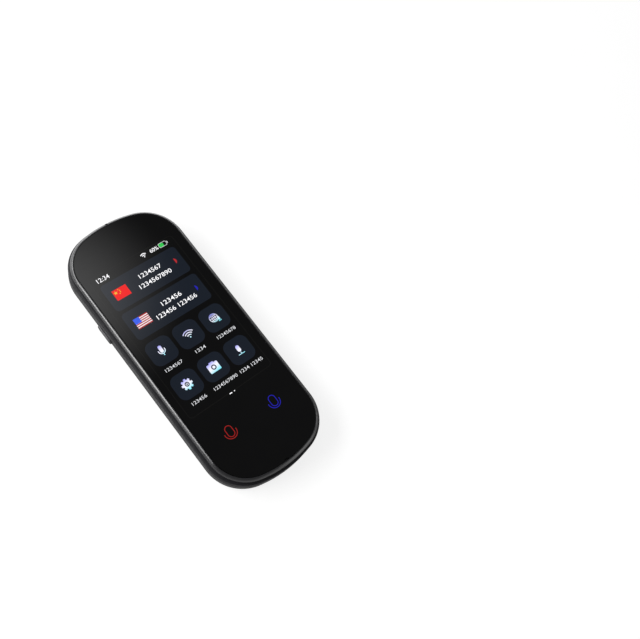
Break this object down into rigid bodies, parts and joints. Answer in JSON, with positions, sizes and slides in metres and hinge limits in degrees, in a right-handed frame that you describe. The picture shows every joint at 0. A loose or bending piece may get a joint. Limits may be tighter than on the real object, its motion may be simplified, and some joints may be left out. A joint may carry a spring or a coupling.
{
  "type": "handheld translator",
  "caption": "Pocket voice translator: a slim round-ended slab with a touch screen, two talk areas under the glass, a side key, a rear camera and a charging socket.",
  "frame": {"origin": "middle of the flat rear face, on which the device lies", "axes": "+Z out of the screen, +Y towards the top end with the charging socket, +X towards the side without the key"},
  "size_m": [0.0525, 0.127, 0.0122],
  "materials": {
    "shell": "satin black moulded shell with a fine even texture",
    "frame": "dark satin band, a little smoother than the shell",
    "bezel": "gloss black rim around the glass",
    "cover_glass": "polished glass, printed black behind",
    "panel": "dark laminated display panel",
    "backlight": "white light guide",
    "film": "amber flexible film",
    "board": "green solder mask on glass fibre board",
    "chip": "black moulded epoxy",
    "steel": "plain pressed steel",
    "foil": "dull pouch foil",
    "foam": "black foam tape",
    "rubber": "soft black rubber",
    "milky": "milky translucent plastic",
    "lens": "dark coated glass",
    "red_lamp": "red lamp lens",
    "blue_lamp": "blue lamp lens",
    "key": "dark grey satin key"
  },
  "bodies": {
    "housing": {"rear_cover": "shell", "mid_frame": "frame", "front_bezel": "bezel", "cover_glass": "cover_glass", "glass_tape": "foam", "display_panel": "panel", "backlight_unit": "backlight", "display_flex": "film", "touch_key_board": "board", "red_lamp": "red_lamp", "blue_lamp": "blue_lamp", "lamp_diffuser": "milky", "main_board": "board", "lower_board": "board", "main_board_screw_1": "steel", "main_board_screw_2": "steel", "main_board_screw_3": "steel", "main_board_screw_4": "steel", "lower_board_screw_1": "steel", "lower_board_screw_2": "steel", "shield_can": "steel", "processor": "chip", "memory_chip": "chip", "wifi_antenna": "film", "top_microphone": "steel", "top_microphone_boot": "rubber", "bottom_microphone": "steel", "bottom_microphone_boot": "rubber", "camera_body": "chip", "camera_lens": "lens", "camera_ring": "steel", "camera_window": "lens", "flash_window": "milky", "flash_lamp": "backlight", "flash_light_pipe": "milky", "usb_shell": "steel", "usb_tongue": "chip", "battery": "foil", "battery_tape": "foam", "battery_flex": "film", "battery_connector": "milky", "speaker": "chip", "speaker_gasket": "foam", "speaker_mesh": "steel", "board_flex": "film", "side_switch": "chip", "switch_bracket": "steel"},
    "key": {"side_key": "key", "switch_plunger": "milky"}
  },
  "joints": [
    {"name": "side_key_press", "type": "slide", "parent": "housing", "child": "key", "axis": [1, 0, 0], "range_m": [0, 0.00035], "stiffness_N_per_m": 2400}
  ]
}
